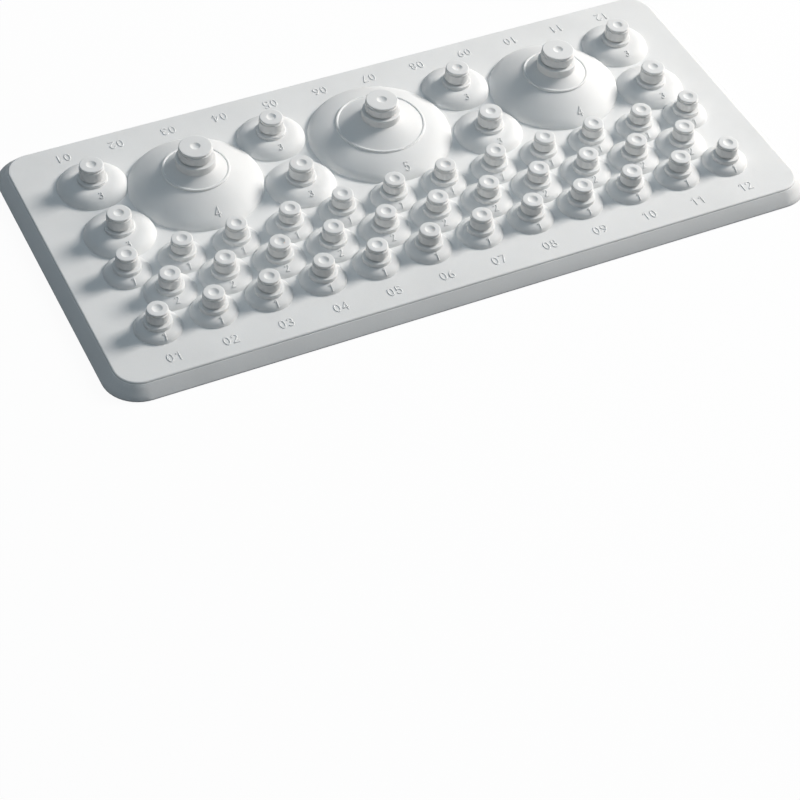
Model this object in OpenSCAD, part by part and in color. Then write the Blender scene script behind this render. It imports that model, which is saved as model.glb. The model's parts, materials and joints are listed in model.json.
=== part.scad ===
// Rubber gland plate with 46 closed cable membranes in five sizes.
// +X runs along the long side and +Z out of the nipple side. The origin is the
// middle of the underside, so the plate stands on Z = 0.

/* [Plate] */
// Thickness of the plate
plate_t = 4; // [3:0.1:6]
// Plain border between the outermost feet and each end of the top face
end_margin = 10; // [6:0.1:30]
// Plain border in front of the front row's feet
front_margin = 10.75; // [6:0.05:30]
// Plain border behind the largest foot
back_margin = 9.35; // [6:0.05:30]
// How far the sides flare outwards from the top face to the foot
flare = 3.6; // [1:0.1:6]
// Corner radius of the top face
corner_r = 7; // [3:0.5:12]
// Rounding of the edge of the top face
edge_round = 0.6; // [0.3:0.1:1]
// Upright land at the foot of the flared side
edge_land = 0.4; // [0.2:0.1:1]

/* [Layout] */
// Membranes in the longer small rows; the row between them has one less
row_count = 12; // [10:2:12]
// How far the small rows reach past the outer medium feet at each end
row_reach = 0.09; // [0:0.01:1]
// How far the feet of one small row run into those of the next
row_merge = 0.17; // [0.1:0.01:0.5]
// How far the last small row's feet run into the largest one
large_merge = 0.6; // [0.3:0.05:0.6]
// Gap between the two feet of a medium pair
pair_gap = 1.4; // [0.5:0.1:4]
// How far the middle of each pair lies in front of the line of the large membranes
pair_shift = 0.3; // [0:0.05:1]
// Gap between the largest foot and the inner medium ones
inner_gap = 0.55; // [0.2:0.05:3]
// How far the inner medium feet run into the second largest
inner_merge = 0.05; // [0.05:0.05:0.5]
// How far the outer medium feet run into the second largest
outer_merge = 0.5; // [0.05:0.05:0.55]

/* [Small membranes] */
// Foot radius in the two long rows
a_foot_r = 6.85; // [6.2:0.05:7.6]
// Foot radius in the row between them
b_foot_r = 7.6; // [7:0.05:8]
// Height of the steep band round a small foot
small_foot_h = 0.8; // [0.7:0.05:1]
// Height of the small nipples above the plate
small_top = 7.4; // [6.8:0.1:10]
// Height of the groove below a small nipple
small_groove_z = 3.3; // [2.9:0.05:4]
// Radius of the small nipple's body
small_body_r = 3.2; // [3:0.05:3.8]
// Radius of the collar below a small nipple
small_collar_r = 4.05; // [3.8:0.05:4.8]
// Height of the collar below a small nipple
small_collar_h = 1.3; // [1:0.1:1.8]
// How far a small skirt bulges out of a straight cone
small_bulge = 0.3; // [0.1:0.05:0.5]

/* [Medium membranes] */
// Foot radius
c_foot_r = 10.4; // [9.5:0.1:10.8]
// Height of the steep band round the foot
c_foot_h = 0.8; // [0.6:0.05:1.1]
// Height of the nipple above the plate
c_top = 8.45; // [8:0.05:11]
// Height of the groove below the nipple
c_groove_z = 3.95; // [3.5:0.05:5]
// Radius of the nipple's body
c_body_r = 3.65; // [3.3:0.05:4.2]
// Radius of the collar
c_collar_r = 4.4; // [4.2:0.05:5.2]
// Height of the collar
c_collar_h = 1.2; // [1:0.1:1.8]
// How far the skirt bulges out of a straight cone
c_bulge = 0.9; // [0.4:0.05:1.3]

/* [Large membranes] */
// Foot radius of the second largest
d_foot_r = 20; // [18:0.1:20.5]
// Nipple height of the second largest
d_top = 14.9; // [14:0.1:18]
// Groove height of the second largest
d_groove_z = 10.9; // [10.4:0.1:11.5]
// Body radius of the second largest
d_body_r = 5; // [4.6:0.1:5.6]
// Collar radius of the second largest
d_collar_r = 5.9; // [5.7:0.1:6.6]
// Radius of the second largest's raised ring
d_ring_r = 9.6; // [8.5:0.1:12]
// Height of that ring above the plate
d_ring_z = 6.4; // [5.5:0.1:7.5]
// Foot radius of the largest
e_foot_r = 21.75; // [20:0.1:22]
// Nipple height of the largest
e_top = 13.7; // [13:0.1:17]
// Groove height of the largest
e_groove_z = 9.9; // [9.4:0.1:10.6]
// Body radius of the largest
e_body_r = 4.95; // [4.6:0.1:5.6]
// Collar radius of the largest
e_collar_r = 5.8; // [5.6:0.1:6.6]
// Radius of the largest's raised ring
e_ring_r = 13.05; // [11:0.05:15]
// Height of that ring above the plate
e_ring_z = 4.6; // [4:0.1:5.5]
// Height of the steep band round a large foot
large_foot_h = 1.2; // [0.9:0.1:1.6]
// Height of the collar of a large nipple
large_collar_h = 2.3; // [2:0.1:3]
// How far the skirt bulges out of a straight cone below its raised ring
large_bulge = 0.45; // [0.2:0.05:0.9]

/* [Details] */
// How far a foot band leans in over each millimetre of its height
foot_lean = 0.4; // [0.35:0.05:0.6]
// Thickness of the rounded cap on a nipple
cap_h = 0.65; // [0.6:0.05:1]
// How far the cap stands in from the nipple's body
cap_inset = 0.15; // [0.05:0.05:0.4]
// Rounding of the cap's edge
cap_round = 0.3; // [0.2:0.05:0.3]
// Depth of the waist line under the cap
waist_depth = 0.15; // [0.1:0.05:0.4]
// Height of the waist line
waist_h = 0.25; // [0.2:0.05:0.4]
// Radius of the dimple in the cap
dimple_r = 1.5; // [0.8:0.05:1.6]
// Depth of the dimple
dimple_depth = 0.45; // [0.3:0.05:0.7]
// Height of the groove that the nipple is cut off in
groove_h = 0.45; // [0.3:0.05:0.6]
// Depth of the groove in from the nipple's body
groove_depth = 0.8; // [0.5:0.05:1]
// Rounding of the collar and of the nipple's body
soft_round = 0.3; // [0.2:0.05:0.45]
// Radius of the bead that forms a raised ring
ring_bead_r = 0.45; // [0.3:0.05:0.7]

/* [Hollows] */
// Wall of the small membranes
small_wall = 1.3; // [1.1:0.05:1.6]
// Wall of the medium membranes
medium_wall = 1.6; // [1.4:0.05:1.8]
// Wall of the large membranes
large_wall = 1.8; // [1.5:0.05:2.2]
// Wall round the channel inside a nipple, at the groove
neck_wall = 0.9; // [0.7:0.05:1.2]
// Rubber left over the channel under the cap
roof = 1.7; // [1.5:0.1:2]
// How much wider each hollow is at its mouth
core_draft = 0.1; // [0.05:0.05:0.2]
// Chamfer round each mouth
mouth_chamfer = 0.4; // [0.2:0.1:0.5]

/* [Hidden] */
$fn = 72;

// Distance between two rows whose feet are a given distance apart, and offset along X
function apart(r, offset) = sqrt(r * r - offset * offset);

pair_half = c_foot_r + pair_gap / 2;
far_y = pair_half - pair_shift;
medium_inner_x = apart(e_foot_r + c_foot_r + inner_gap, far_y);
large_x = medium_inner_x + apart(d_foot_r + c_foot_r - inner_merge, far_y);
medium_outer_x = large_x + apart(d_foot_r + c_foot_r - outer_merge, far_y);

row_end = medium_outer_x + c_foot_r + row_reach;
half_row = row_end - a_foot_r;
pitch = 2 * half_row / (row_count - 1);
row_step = apart(a_foot_r + b_foot_r - row_merge, pitch / 2);
large_step = max(
    apart(e_foot_r + a_foot_r - large_merge, pitch / 2),
    d_foot_r + a_foot_r - large_merge
);

top_l = 2 * (row_end + end_margin);
back_y = max(e_foot_r, far_y + c_foot_r) + back_margin;
front_y_gap = a_foot_r + front_margin;
top_w = front_y_gap + 2 * row_step + large_step + back_y;
front_y = front_y_gap - top_w / 2;
large_y = top_w / 2 - back_y;

// How far a membrane's root reaches down into the plate
root = 1;
// How far a cutting tool passes beyond a face
over = 1;
// Straight stretches that a skirt's bulge is made of
bulge_steps = 5;

// Each membrane is [foot radius, foot band height, skirt bulge, wall, ring radius, ring height,
// nipple height, groove height, body radius, collar radius, collar height];
// a ring radius of 0 is none
size_a = [a_foot_r, small_foot_h, small_bulge, small_wall, 0, 0,
    small_top, small_groove_z, small_body_r, small_collar_r, small_collar_h];
size_b = [b_foot_r, small_foot_h, small_bulge, small_wall, 0, 0,
    small_top, small_groove_z, small_body_r, small_collar_r, small_collar_h];
size_c = [c_foot_r, c_foot_h, c_bulge, medium_wall, 0, 0,
    c_top, c_groove_z, c_body_r, c_collar_r, c_collar_h];
size_d = [d_foot_r, large_foot_h, large_bulge, large_wall, d_ring_r, d_ring_z,
    d_top, d_groove_z, d_body_r, d_collar_r, large_collar_h];
size_e = [e_foot_r, large_foot_h, large_bulge, large_wall, e_ring_r, e_ring_z,
    e_top, e_groove_z, e_body_r, e_collar_r, large_collar_h];

function foot_r(m) = m[0];
function foot_h(m) = m[1];
function bulge(m) = m[2];
function wall(m) = m[3];
function ring(m) = [m[4], m[5]];
function top_z(m) = m[6];
function groove_z(m) = m[7];
function body_r(m) = m[8];
function collar_r(m) = m[9];
function collar_z(m) = groove_z(m) - m[10];

// The skirt rises up its foot band to the shoulder, and bulges from there to the
// knee: the raised ring, or else the neck
function shoulder(m) = [foot_r(m) - foot_lean * foot_h(m), foot_h(m)];
function neck(m) = [collar_r(m) - soft_round, collar_z(m)];
function ringed(m) = ring(m)[0] > 0;
function knee(m) = ringed(m) ? ring(m) : neck(m);
function slope(m) = (knee(m)[1] - shoulder(m)[1]) / (shoulder(m)[0] - knee(m)[0]);

// How far the hollow's ceiling lies below the skirt, for a wall of the given thickness
function drop(m) = wall(m) * sqrt(1 + slope(m) * slope(m));
function bore_r(m) = body_r(m) - groove_depth - neck_wall;

// Rows of small membranes, then the medium ones, then the large ones
places = concat(
    [for (row = [0, 2], i = [0 : row_count - 1])
        [size_a, i * pitch - half_row, front_y + row * row_step]],
    [for (i = [1 : row_count - 1])
        [size_b, (i - 0.5) * pitch - half_row, front_y + row_step]],
    [for (x = [medium_inner_x, medium_outer_x], sx = [-1, 1], sy = [-1, 1])
        [size_c, sx * x, large_y - pair_shift + sy * pair_half]],
    [for (sx = [-1, 1]) [size_d, sx * large_x, large_y]],
    [[size_e, 0, large_y]]
);

// Half section of a disc with a rounded edge
module disc_section(r, z0, z1, round_r) {
    translate([0, z0])
        square([r - round_r, z1 - z0]);
    translate([0, z0 + round_r])
        square([r, z1 - z0 - 2 * round_r]);
    for (z = [z0 + round_r, z1 - round_r])
        translate([r - round_r, z])
            intersection() {
                circle(round_r);
                translate([-round_r, -round_r])
                    square(2 * round_r);
            }
}

// Points along the arc that bulges from the chord between two points, without its ends
function bulge_points(p, q, sagitta) =
    let(
        chord = norm(q - p),
        r = (chord * chord / 4 + sagitta * sagitta) / (2 * sagitta),
        side = [q[1] - p[1], p[0] - q[0]] / chord,
        centre = (p + q) / 2 - side * (r - sagitta),
        from = atan2(p[1] - centre[1], p[0] - centre[0]),
        to = atan2(q[1] - centre[1], q[0] - centre[0])
    )
    [for (i = [1 : bulge_steps - 1])
        let(a = from + (to - from) * i / bulge_steps)
            centre + r * [cos(a), sin(a)]];

// Half section of a membrane's skirt, reaching down below its foot
module skirt_section(m, below) {
    polygon(concat(
        [[0, -below], [foot_r(m), -below], [foot_r(m), 0], shoulder(m)],
        bulge_points(shoulder(m), knee(m), bulge(m)),
        [knee(m)],
        ringed(m) ? [neck(m)] : [],
        [[0, collar_z(m)]]
    ));
}

// Half section of the collar, groove, body, waist line and cap
module nipple_section(m) {
    body_z = groove_z(m) + groove_h;
    waist_z = top_z(m) - cap_h - waist_h;
    groove_r = body_r(m) - groove_depth;
    cap_r = body_r(m) - cap_inset;
    disc_section(collar_r(m), collar_z(m) - soft_round, groove_z(m), soft_round);
    translate([0, groove_z(m) - soft_round])
        square([groove_r, groove_h + 2 * soft_round]);
    disc_section(body_r(m), body_z, waist_z, soft_round);
    translate([0, waist_z - soft_round])
        square([cap_r - waist_depth, waist_h + 2 * soft_round]);
    disc_section(cap_r, top_z(m) - cap_h, top_z(m), cap_round);
}

module membrane(m) {
    dimple_ball = (dimple_r * dimple_r + dimple_depth * dimple_depth) / (2 * dimple_depth);
    difference() {
        rotate_extrude()
            union() {
                skirt_section(m, root);
                nipple_section(m);
                if (ringed(m))
                    translate(ring(m))
                        circle(ring_bead_r);
            }
        translate([0, 0, top_z(m) + dimple_ball - dimple_depth])
            sphere(dimple_ball);
    }
}

// Half section of the hollow inside a membrane, open at the underside: the
// skirt's own form lowered by the wall, and a channel up into the nipple
module hollow_section(m) {
    inner_r = foot_r(m) - wall(m);
    mouth_r = inner_r + core_draft;
    intersection() {
        translate([0, -drop(m)])
            skirt_section(m, plate_t + over);
        polygon([
            [0, -plate_t - over],
            [mouth_r + mouth_chamfer + over, -plate_t - over],
            [mouth_r, mouth_chamfer - plate_t],
            [inner_r, 0],
            [inner_r, top_z(m)],
            [0, top_z(m)]
        ]);
    }
    translate([0, -plate_t])
        square([bore_r(m), top_z(m) - roof + plate_t]);
}

// Half section across the plate's edge, out from the point that is in by corner_r
module edge_section() {
    ease = edge_round * (sqrt(flare * flare + plate_t * plate_t) - flare) / plate_t;
    intersection() {
        polygon([
            [0, 0],
            [corner_r + flare, 0],
            [corner_r + flare, edge_land],
            [corner_r, plate_t],
            [0, plate_t]
        ]);
        union() {
            square([corner_r - ease, plate_t]);
            translate([corner_r - ease, plate_t - edge_round])
                circle(edge_round);
            square([corner_r + flare, plate_t - edge_round * flare / plate_t]);
        }
    }
}

module plate() {
    in_x = top_l / 2 - corner_r;
    in_y = top_w / 2 - corner_r;
    translate([-in_x, -in_y, 0])
        cube([2 * in_x, 2 * in_y, plate_t]);
    for (s = [-1, 1]) {
        translate([s * in_x, 0, 0])
            rotate([0, 0, s > 0 ? 0 : 180])
                translate([0, in_y, 0])
                    rotate([90, 0, 0])
                        linear_extrude(2 * in_y)
                            edge_section();
        translate([0, s * in_y, 0])
            rotate([0, 0, s > 0 ? 90 : -90])
                translate([0, in_x, 0])
                    rotate([90, 0, 0])
                        linear_extrude(2 * in_x)
                            edge_section();
    }
    for (sx = [-1, 1], sy = [-1, 1])
        translate([sx * in_x, sy * in_y, 0])
            rotate_extrude()
                edge_section();
}

module gland_plate() {
    color([0.8, 0.81, 0.8])
        difference() {
            union() {
                plate();
                for (p = places)
                    translate([p[1], p[2], plate_t])
                        membrane(p[0]);
            }
            for (p = places)
                translate([p[1], p[2], plate_t])
                    rotate_extrude()
                        hollow_section(p[0]);
        }
}

gland_plate();
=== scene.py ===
"""Rubber gland plate with 46 closed membranes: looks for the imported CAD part.

The CAD solid is shown as it is, in soft light grey rubber. This script adds the
moulded size figures on the membranes and the position figures along both long
edges, as raised rubber that lies on the CAD surface.
"""

import json
import math

import bmesh
import bpy
import numpy as np
from mathutils import Matrix, Vector
from mathutils.bvhtree import BVHTree


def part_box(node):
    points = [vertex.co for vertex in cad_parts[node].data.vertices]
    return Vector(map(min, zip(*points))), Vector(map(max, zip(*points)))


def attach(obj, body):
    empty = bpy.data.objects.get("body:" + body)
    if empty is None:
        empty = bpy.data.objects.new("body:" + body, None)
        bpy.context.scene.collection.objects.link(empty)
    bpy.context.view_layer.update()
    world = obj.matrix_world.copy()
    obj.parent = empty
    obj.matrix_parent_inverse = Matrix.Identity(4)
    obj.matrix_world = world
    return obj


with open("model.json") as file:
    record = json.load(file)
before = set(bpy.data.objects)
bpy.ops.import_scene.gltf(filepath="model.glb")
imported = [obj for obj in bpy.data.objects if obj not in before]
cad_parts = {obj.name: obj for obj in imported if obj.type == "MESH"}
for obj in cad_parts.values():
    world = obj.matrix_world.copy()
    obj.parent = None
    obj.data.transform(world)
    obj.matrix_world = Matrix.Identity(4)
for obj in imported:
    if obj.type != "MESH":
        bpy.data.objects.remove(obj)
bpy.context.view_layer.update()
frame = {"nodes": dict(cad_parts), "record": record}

scene = bpy.context.scene
plate = frame["nodes"]["gland_plate"]
OPENINGS = {o["name"]: o for o in frame["record"]["physics"]["openings"]}


def middle(name):
    lo, hi = OPENINGS[name]["box_m"]
    return Vector(((lo[0] + hi[0]) / 2, (lo[1] + hi[1]) / 2))


# ------------------------------------------------------------------ materials

def node(tree, kind, at, **inputs):
    """A node with its inputs set by name; a socket value links instead."""
    n = tree.nodes.new(kind)
    n.location = at
    for key, value in inputs.items():
        socket = n.inputs[key.replace("_", " ")]
        if isinstance(value, bpy.types.NodeSocket):
            tree.links.new(value, socket)
        else:
            socket.default_value = value
    return n


def ramp(tree, fac, at, stops):
    n = tree.nodes.new("ShaderNodeValToRGB")
    n.location = at
    n.color_ramp.elements[0].position, n.color_ramp.elements[1].position = stops[0][0], stops[-1][0]
    for _ in stops[1:-1]:
        n.color_ramp.elements.new(0.5)
    for element, (pos, col) in zip(n.color_ramp.elements, stops):
        element.position = pos
        element.color = (*col, 1)
    tree.links.new(fac, n.inputs["Fac"])
    return n.outputs["Color"]


def rubber(name, base):
    """Moulded light grey rubber: a fine eroded mould grain, soft flow marks, dull sheen."""
    mat = bpy.data.materials.new(name)
    mat.use_nodes = True
    tree = mat.node_tree
    bsdf = tree.nodes["Principled BSDF"]
    where = node(tree, "ShaderNodeTexCoord", (-1400, 0)).outputs["Object"]
    cloud = node(tree, "ShaderNodeTexNoise", (-1150, 250), Vector=where,
                 Scale=55.0, Detail=4.0, Roughness=0.5).outputs["Fac"]
    grain = node(tree, "ShaderNodeTexNoise", (-1150, -50), Vector=where,
                 Scale=2600.0, Detail=3.0, Roughness=0.6).outputs["Fac"]
    specks = node(tree, "ShaderNodeTexNoise", (-1150, -350), Vector=where,
                  Scale=5200.0, Detail=2.0, Roughness=0.5).outputs["Fac"]
    flow = ramp(tree, cloud, (-850, 250), [
        (0.30, tuple(c * 0.965 for c in base)),
        (0.52, base),
        (0.72, tuple(min(1, c * 1.02) for c in base)),
    ])
    dust = ramp(tree, specks, (-850, -350), [(0.28, (0.93,) * 3), (0.42, (1,) * 3)])
    colour = tree.nodes.new("ShaderNodeMix")
    colour.data_type = "RGBA"
    colour.blend_type = "MULTIPLY"
    colour.location = (-500, 200)
    colour.inputs[0].default_value = 0.5
    tree.links.new(flow, colour.inputs[6])
    tree.links.new(dust, colour.inputs[7])
    tree.links.new(colour.outputs[2], bsdf.inputs["Base Color"])
    dull = node(tree, "ShaderNodeMapRange", (-500, -100), Value=grain)
    dull.inputs["To Min"].default_value = 0.47
    dull.inputs["To Max"].default_value = 0.64
    tree.links.new(dull.outputs["Result"], bsdf.inputs["Roughness"])
    fine = node(tree, "ShaderNodeBump", (-500, -350), Height=grain,
                Strength=0.22, Distance=0.00006)
    swell = node(tree, "ShaderNodeBump", (-300, -350), Height=cloud,
                 Normal=fine.outputs["Normal"], Strength=0.12, Distance=0.0006)
    tree.links.new(swell.outputs["Normal"], bsdf.inputs["Normal"])
    bsdf.inputs["IOR"].default_value = 1.5
    bsdf.inputs["Specular IOR Level"].default_value = 0.25
    bsdf.inputs["Subsurface Weight"].default_value = 0.3
    bsdf.inputs["Subsurface Radius"].default_value = (1.0, 0.95, 0.9)
    bsdf.inputs["Subsurface Scale"].default_value = 0.0012
    bsdf.inputs["Sheen Weight"].default_value = 0.06
    bsdf.inputs["Sheen Roughness"].default_value = 0.5
    return mat


RUBBER = rubber("light_grey_rubber", (0.85, 0.852, 0.845))

# ------------------------------------------------------------- the CAD solid

plate.data.materials.clear()
plate.data.materials.append(RUBBER)


# A dimple's rim: its least and greatest radius, and how far below the cap's top it may be.
RIM_NEAR, RIM_FAR, RIM_DEPTH = 0.0013, 0.0017, 0.00002
CAP_REACH = 0.003
WELD_AT = 0.000001


def soften(obj, degrees, centres):
    """Smooth shading by modifiers, with the moulded edges and the dimples' rims kept crisp."""
    mesh = obj.data
    mesh.polygons.foreach_set("use_smooth", [True] * len(mesh.polygons))
    co = np.zeros(len(mesh.vertices) * 3, np.float32)
    mesh.vertices.foreach_get("co", co)
    co = co.reshape(-1, 3)
    ends = np.zeros(len(mesh.edges) * 2, np.int32)
    mesh.edges.foreach_get("vertices", ends)
    ends = ends.reshape(-1, 2)
    rim = np.zeros(len(co), bool)
    for c in centres:
        r = np.hypot(co[:, 0] - c[0], co[:, 1] - c[1])
        near = np.flatnonzero(r < CAP_REACH)
        top = co[near, 2].max()
        at_rim = (r[near] > RIM_NEAR) & (r[near] < RIM_FAR) & (co[near, 2] > top - RIM_DEPTH)
        rim[near[at_rim]] = True
    sharp = mesh.attributes.get("sharp_edge")
    if sharp is None:
        sharp = mesh.attributes.new("sharp_edge", "BOOLEAN", "EDGE")
    sharp.data.foreach_set("value", rim[ends[:, 0]] & rim[ends[:, 1]])
    weld = obj.modifiers.new("weld", "WELD")
    weld.merge_threshold = WELD_AT
    split = obj.modifiers.new("edges", "EDGE_SPLIT")
    split.use_edge_sharp = True
    split.split_angle = math.radians(degrees)
    normal = obj.modifiers.new("normals", "WEIGHTED_NORMAL")
    normal.keep_sharp = True
    normal.weight = 100


# ---------------------------------------------------------------- the figures

surface = BVHTree.FromPolygons([v.co for v in plate.data.vertices],
                               [p.vertices for p in plate.data.polygons])
REACH = 0.00025     # how far to each side the surface's direction is read
STEP = 0.0003       # the furthest that points of a stroke lie apart
ABOVE = 0.1         # where the rays down to the surface start


def height(x, y):
    """Height of the CAD surface under a point, seen from above."""
    return surface.ray_cast(Vector((x, y, ABOVE)), Vector((0, 0, -1)))[0].z


def outward(x, y):
    """The surface's direction at a point, softened over a short reach."""
    dx = height(x + REACH, y) - height(x - REACH, y)
    dy = height(x, y + REACH) - height(x, y - REACH)
    return Vector((-dx, -dy, 2 * REACH)).normalized()


def arc(cx, cy, rx, ry, start, end, count=12):
    """Points on part of an ellipse; angles in degrees, anticlockwise from +X."""
    turns = [math.radians(start + (end - start) * i / count) for i in range(count + 1)]
    return [(cx + rx * math.cos(t), cy + ry * math.sin(t)) for t in turns]


# Strokes of plain figures, in a cell WIDE wide and 1 tall.
SIX = [arc(0.30, 0.29, 0.24, 0.27, 0, 360, 16), arc(0.60, 0.29, 0.54, 0.66, 180, 112, 8)]
STROKES = {
    "0": [arc(0.30, 0.50, 0.25, 0.47, 0, 360, 20)],
    "1": [[(0.14, 0.78), (0.38, 0.97)], [(0.38, 0.97), (0.38, 0.03)]],
    "2": [arc(0.30, 0.71, 0.24, 0.26, 165, -38, 12) + [(0.07, 0.03)],
          [(0.07, 0.03), (0.56, 0.03)]],
    "3": [arc(0.28, 0.745, 0.22, 0.225, 150, -90, 12),
          arc(0.28, 0.275, 0.26, 0.245, 90, -150, 12)],
    "4": [[(0.44, 0.03), (0.44, 0.97)], [(0.44, 0.97), (0.04, 0.30)],
          [(0.04, 0.30), (0.60, 0.30)]],
    "5": [[(0.52, 0.97), (0.14, 0.97)], [(0.14, 0.97), (0.10, 0.54)],
          arc(0.28, 0.32, 0.26, 0.30, 132, -150, 14)],
    "6": SIX,
    "7": [[(0.05, 0.97), (0.56, 0.97)], [(0.56, 0.97), (0.20, 0.03)]],
    "8": [arc(0.30, 0.745, 0.20, 0.22, 0, 360, 16), arc(0.30, 0.275, 0.25, 0.25, 0, 360, 16)],
    "9": [[(0.6 - x, 1 - y) for x, y in stroke] for stroke in SIX],
}
CELL = 0.82         # from one figure to the next, in figure heights
WIDE = 0.6          # the width of a figure, in figure heights
# Half section of a raised stroke: part of its half width, and part of its height.
PROFILE = [(-1.0, 0.0), (-0.82, 0.55), (-0.5, 0.9), (0.0, 1.0),
           (0.5, 0.9), (0.82, 0.55), (1.0, 0.0)]
# A round end: how far out its rows lie, in parts of the half width.
END = (0.4, 0.75, 0.97)
SAME = 1e-7         # ends nearer than this close a stroke


def spaced(points):
    """The same line with points no further apart than STEP."""
    out = [points[0]]
    for a, b in zip(points, points[1:]):
        count = max(1, math.ceil((b - a).length / STEP))
        out += [a.lerp(b, i / count) for i in range(1, count + 1)]
    return out


def ribbon(bm, line, half, lift, sink):
    """A raised stroke with a rounded top and rounded ends, laid on the CAD surface."""
    closed = (line[0] - line[-1]).length < SAME
    line = spaced(line)
    if closed:
        line = line[:-1]
        rows = [(p, (line[(i + 1) % len(line)] - line[i - 1]).normalized(), 1.0)
                for i, p in enumerate(line)]
    else:
        first, last = (line[1] - line[0]).normalized(), (line[-1] - line[-2]).normalized()
        rows = [(line[0] - first * half * f, first, math.sqrt(1 - f * f)) for f in END[::-1]]
        for i, p in enumerate(line):
            ahead = line[min(i + 1, len(line) - 1)] - line[max(i - 1, 0)]
            rows.append((p, ahead.normalized(), 1.0))
        rows += [(line[-1] + last * half * f, last, math.sqrt(1 - f * f)) for f in END]
    rings = []
    for p, ahead, full in rows:
        side = Vector((-ahead.y, ahead.x))
        ring = []
        for across, up in PROFILE:
            x, y = p + side * (across * half * full)
            rise = lift * up * full if up else -sink
            ring.append(bm.verts.new(Vector((x, y, height(x, y))) + outward(x, y) * rise))
        rings.append(ring)
    pairs = list(zip(rings, rings[1:])) + ([(rings[-1], rings[0])] if closed else [])
    count = len(PROFILE)
    for r0, r1 in pairs:
        for i in range(count):
            j = (i + 1) % count
            bm.faces.new([r0[i], r0[j], r1[j], r1[i]])
    if not closed:
        bm.faces.new(rings[0][::-1])
        bm.faces.new(rings[-1])


def raised(name, labels, stroke, lift, sink):
    """One piece of raised figures. Each label is (text, place, turn in degrees, height)."""
    bm = bmesh.new()
    for text, at, turn, tall in labels:
        spin = Matrix.Rotation(math.radians(turn), 2)
        left = -(CELL * (len(text) - 1) + WIDE) / 2
        for i, figure in enumerate(text):
            for points in STROKES[figure]:
                line = [Vector(at) + spin @ (Vector((left + CELL * i + x, y)) * tall)
                        for x, y in points]
                ribbon(bm, line, stroke / 2, lift, sink)
    bmesh.ops.recalc_face_normals(bm, faces=bm.faces)
    mesh = bpy.data.meshes.new(name)
    bm.to_mesh(mesh)
    bm.free()
    mesh.polygons.foreach_set("use_smooth", [True] * len(mesh.polygons))
    obj = bpy.data.objects.new(name, mesh)
    scene.collection.objects.link(obj)
    mesh.materials.append(RUBBER)
    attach(obj, "root")
    return obj


middle_row = [middle(f"entry_middle_row_{i:02d}") for i in range(1, 12)]
medium = [middle(f"entry_medium_{a}_{b}_{c}") for a in ("inner", "outer")
          for b in ("left", "right") for c in ("near", "far")]
large = [middle("entry_large_left"), middle("entry_large_right")]
largest = middle("entry_largest")
pitch = (middle_row[-1].x - middle_row[0].x) / (len(middle_row) - 1)
row_x = [middle_row[0].x + (i - 0.5) * pitch for i in range(len(middle_row) + 1)]
front_y = middle("entry_front_row_08").y
back_y = 2 * middle_row[0].y - front_y

SMALL, LARGE, BORDER = 0.0020, 0.0026, 0.0030
SINK = 0.00012      # how far the strokes' undersides lie in the rubber
# By size figure: its membranes' middles, how far in front of them it stands, and its height.
SIZES = {
    "1": ([(x, y) for x in row_x for y in (front_y, back_y)], 0.0064, SMALL),
    "2": (middle_row, 0.0064, SMALL),
    "3": (medium, 0.0083, SMALL),
    "4": (large, 0.0177, LARGE),
    "5": ([largest], 0.0199, LARGE),
}
labels = [(figure, (x, y - forward), 0, tall)
          for figure, (spots, forward, tall) in SIZES.items() for x, y in spots]
raised("size_figures", labels, 0.00042, 0.0002, SINK)

EDGE_GAP = 0.0076   # from the plate's long edge to the position figures
near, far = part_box("gland_plate")
border_y = near.y + EDGE_GAP
labels = [(f"{i + 1:02d}", (x, y), turn, BORDER)
          for y, turn in ((border_y, 0), (-border_y, 180)) for i, x in enumerate(row_x)]
raised("position_figures", labels, 0.0005, 0.00016, SINK)

soften(plate, 50, [tuple(spot) for spots, _, _ in SIZES.values() for spot in spots])

# --------------------------------------------------------- floor, light, world


def area(name, azimuth, elevation, distance, width, power, colour):
    """A square area lamp aimed at the plate; azimuth is from +Y towards +X."""
    lamp = bpy.data.lights.new(name, "AREA")
    lamp.size = width
    lamp.energy = power
    lamp.color = colour
    obj = bpy.data.objects.new(name, lamp)
    scene.collection.objects.link(obj)
    a, e = math.radians(azimuth), math.radians(elevation)
    obj.location = Vector((math.sin(a) * math.cos(e), math.cos(a) * math.cos(e),
                           math.sin(e))) * distance
    obj.rotation_euler = (-obj.location).to_track_quat("-Z", "Y").to_euler()


area("key_light", 82, 31, 1.5, 0.45, 24.2, (1.05, 1.0, 0.955))

# The sky is brightest straight above the plate and dark near the horizon.
world = bpy.data.worlds.new("studio")
scene.world = world
world.use_nodes = True
tree = world.node_tree
sky = tree.nodes["Background"]
SKY_DARK_BELOW, SKY_STRENGTH = 0.3, 0.485
way = node(tree, "ShaderNodeTexCoord", (-1000, 0)).outputs["Generated"]
lean = node(tree, "ShaderNodeVectorMath", (-800, 0))
lean.operation = "DOT_PRODUCT"
tree.links.new(way, lean.inputs[0])
lean.inputs[1].default_value = (0, 0, 1)
fall = node(tree, "ShaderNodeMapRange", (-600, 0), Value=lean.outputs["Value"])
fall.inputs["From Min"].default_value = SKY_DARK_BELOW
fall.inputs["To Min"].default_value = 0.0
fall.inputs["To Max"].default_value = SKY_STRENGTH
tree.links.new(fall.outputs["Result"], sky.inputs["Strength"])
sky.inputs["Color"].default_value = (0.842, 1.0, 1.12, 1)
seen = node(tree, "ShaderNodeBackground", (0, -200), Color=(1, 1, 1, 1), Strength=1.0)
ray = node(tree, "ShaderNodeLightPath", (-600, 300))
direct = ray.outputs["Is Camera Ray"]
for kind in ("Is Glossy Ray", "Is Transmission Ray"):
    either = node(tree, "ShaderNodeMath", (-400, 300))
    either.operation = "MAXIMUM"
    tree.links.new(direct, either.inputs[0])
    tree.links.new(ray.outputs[kind], either.inputs[1])
    direct = either.outputs[0]
pick = tree.nodes.new("ShaderNodeMixShader")
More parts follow.
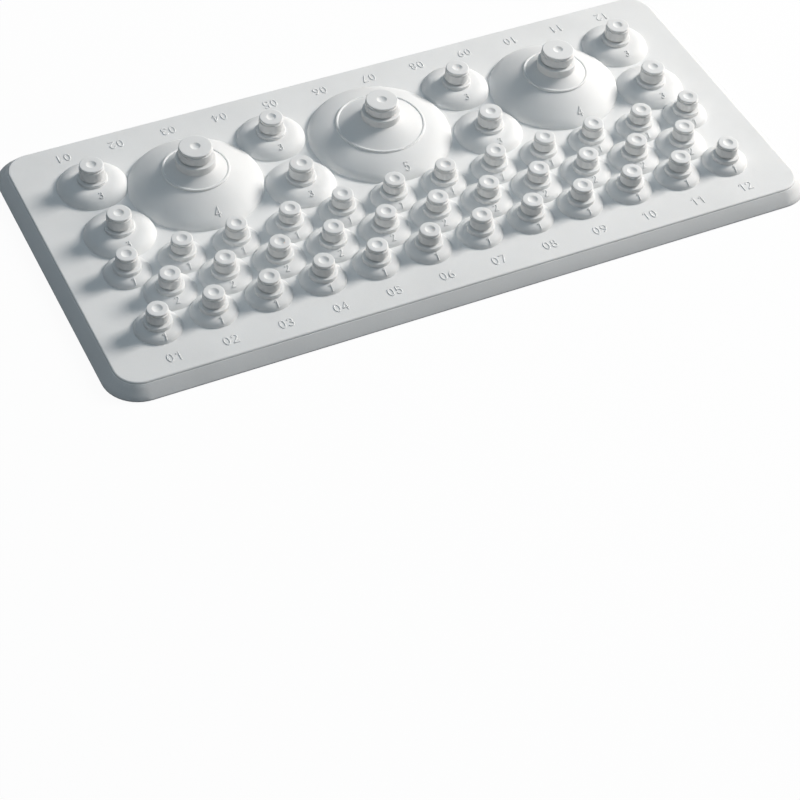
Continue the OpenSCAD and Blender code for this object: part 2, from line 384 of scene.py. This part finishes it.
tree.links.new(direct, pick.inputs[0])
tree.links.new(sky.outputs[0], pick.inputs[1])
tree.links.new(seen.outputs[0], pick.inputs[2])
tree.links.new(pick.outputs[0], tree.nodes["World Output"].inputs["Surface"])

# Camera rays see a white floor that keeps a faint shadow; other rays see a dark one.
UNDER = -0.0003     # just below the plate, so that the two don't share a plane
bpy.ops.mesh.primitive_plane_add(size=6, location=(0, 0, UNDER))
floor = bpy.context.object
floor.name = "floor"
paper = bpy.data.materials.new("white_floor")
paper.use_nodes = True
tree = paper.node_tree
matt = tree.nodes["Principled BSDF"]
matt.inputs["Base Color"].default_value = (0.05, 0.05, 0.05, 1)
matt.inputs["Roughness"].default_value = 0.9
matt.inputs["Specular IOR Level"].default_value = 0.1
white = node(tree, "ShaderNodeBsdfDiffuse", (0, -150), Color=(0.95, 0.95, 0.95, 1))
glow = node(tree, "ShaderNodeEmission", (0, -300), Color=(1, 1, 1, 1), Strength=1.0)
bright = tree.nodes.new("ShaderNodeMixShader")
bright.inputs[0].default_value = 0.95
tree.links.new(white.outputs[0], bright.inputs[1])
tree.links.new(glow.outputs[0], bright.inputs[2])
ray = node(tree, "ShaderNodeLightPath", (-600, 300))
pick = tree.nodes.new("ShaderNodeMixShader")
tree.links.new(ray.outputs["Is Camera Ray"], pick.inputs[0])
tree.links.new(matt.outputs[0], pick.inputs[1])
tree.links.new(bright.outputs[0], pick.inputs[2])
tree.links.new(pick.outputs[0], tree.nodes["Material Output"].inputs["Surface"])
floor.data.materials.append(paper)

# --------------------------------------------------------------------- camera

# Fitted to the plate's edges, its rows and its nipples in the photo.
LOOK_AT, DISTANCE = Vector((-0.041394, -0.082024, 0.004)), 0.59824
azimuth, elevation, roll = (math.radians(v) for v in (28.7919, 46.9771, -4.3166))
ahead = Vector((math.sin(azimuth) * math.cos(elevation), math.cos(azimuth) * math.cos(elevation),
                -math.sin(elevation)))
across = Vector((math.cos(azimuth), -math.sin(azimuth), 0))
down = ahead.cross(across)
right = across * math.cos(roll) + down * math.sin(roll)
low = -across * math.sin(roll) + down * math.cos(roll)
lens = bpy.data.cameras.new("camera")
lens.lens = 100.774
lens.sensor_width = 36
lens.clip_start = 0.01
camera = bpy.data.objects.new("camera", lens)
scene.collection.objects.link(camera)
pose = Matrix((right, -low, -ahead)).transposed().to_4x4()
pose.translation = LOOK_AT - ahead * DISTANCE
camera.matrix_world = pose
scene.camera = camera
scene.view_settings.view_transform = "Standard"
